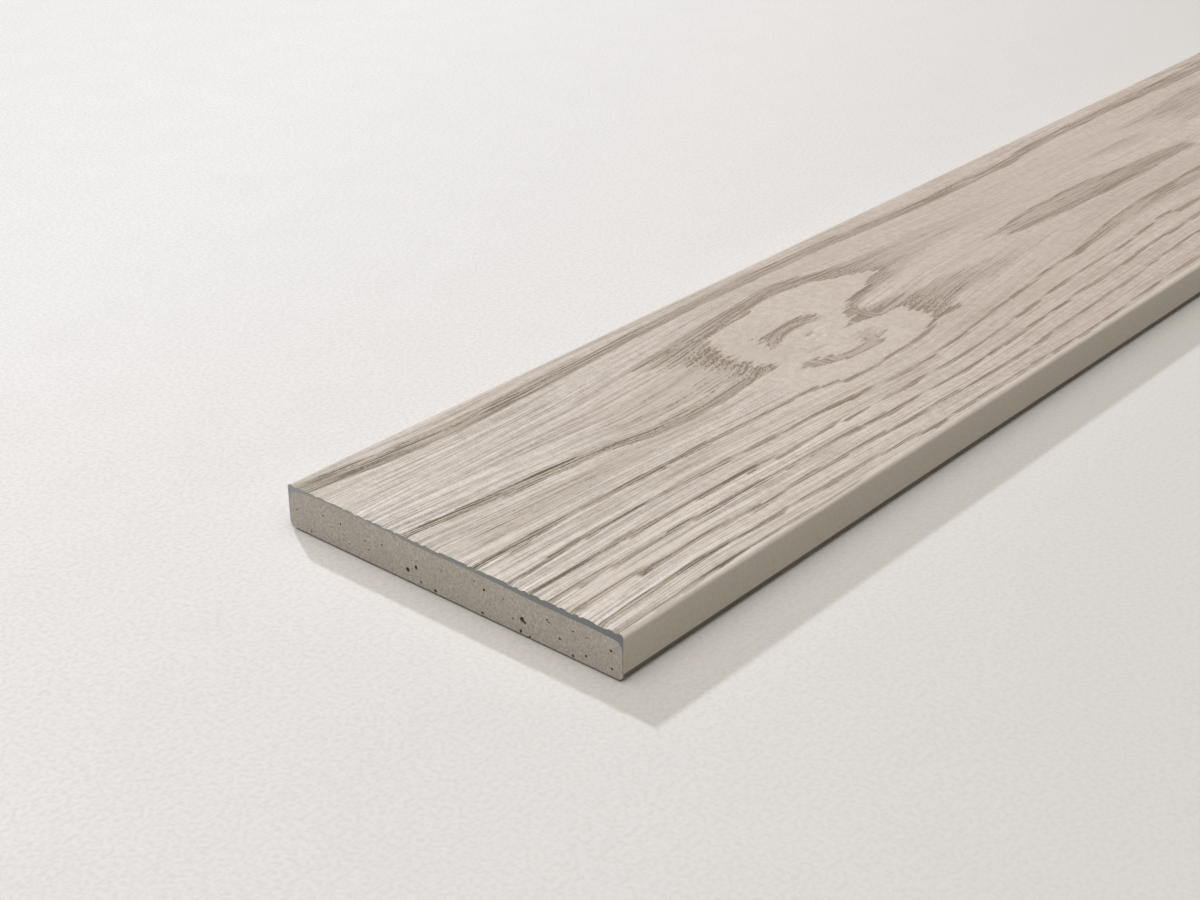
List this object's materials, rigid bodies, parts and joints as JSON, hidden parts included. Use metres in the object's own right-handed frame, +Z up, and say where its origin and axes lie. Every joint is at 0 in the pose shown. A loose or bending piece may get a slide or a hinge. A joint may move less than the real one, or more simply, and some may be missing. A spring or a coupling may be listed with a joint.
{
  "type": "reveal trim board",
  "caption": "Flat moulded trim board with a limed-oak grain face, a thin skin wrapped over its long edges and a resin and mineral core, for lining window and door reveals.",
  "frame": {"origin": "middle of the back face, which lies on the floor", "axes": "+X along the board's length, +Y across its width, +Z up out of the grained face"},
  "size_m": [3.2, 0.146, 0.016],
  "materials": {
    "core": "cast resin and mineral, sawn ends with small air voids",
    "skin": "moulded oak grain, limed pale grey, matt"
  },
  "bodies": {
    "root": {"resin_core": "core", "face_skin": "skin"}
  },
  "joints": []
}
